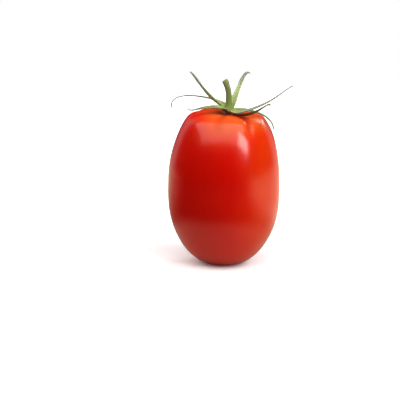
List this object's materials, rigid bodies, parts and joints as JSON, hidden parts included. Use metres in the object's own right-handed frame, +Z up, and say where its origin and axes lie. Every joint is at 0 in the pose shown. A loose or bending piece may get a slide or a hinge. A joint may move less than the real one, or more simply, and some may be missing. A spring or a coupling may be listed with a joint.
{
  "type": "plum tomato",
  "caption": "Ripe plum tomato with its calyx and a short stalk, standing upright on the small flat spot of its blossom end.",
  "frame": {"origin": "middle of the small flat spot at the blossom end, on the surface that the fruit stands on", "axes": "+Z up from the blossom end to the stalk, -Y towards the viewer, +X to the viewer's right"},
  "size_m": [0.0602, 0.0544, 0.0935],
  "materials": {
    "skin": "smooth, waxy and glossy ripe tomato skin",
    "calyx": "matt green leafy tissue with fine hairs"
  },
  "bodies": {
    "root": {"fruit": "skin", "calyx": "calyx"}
  },
  "joints": []
}
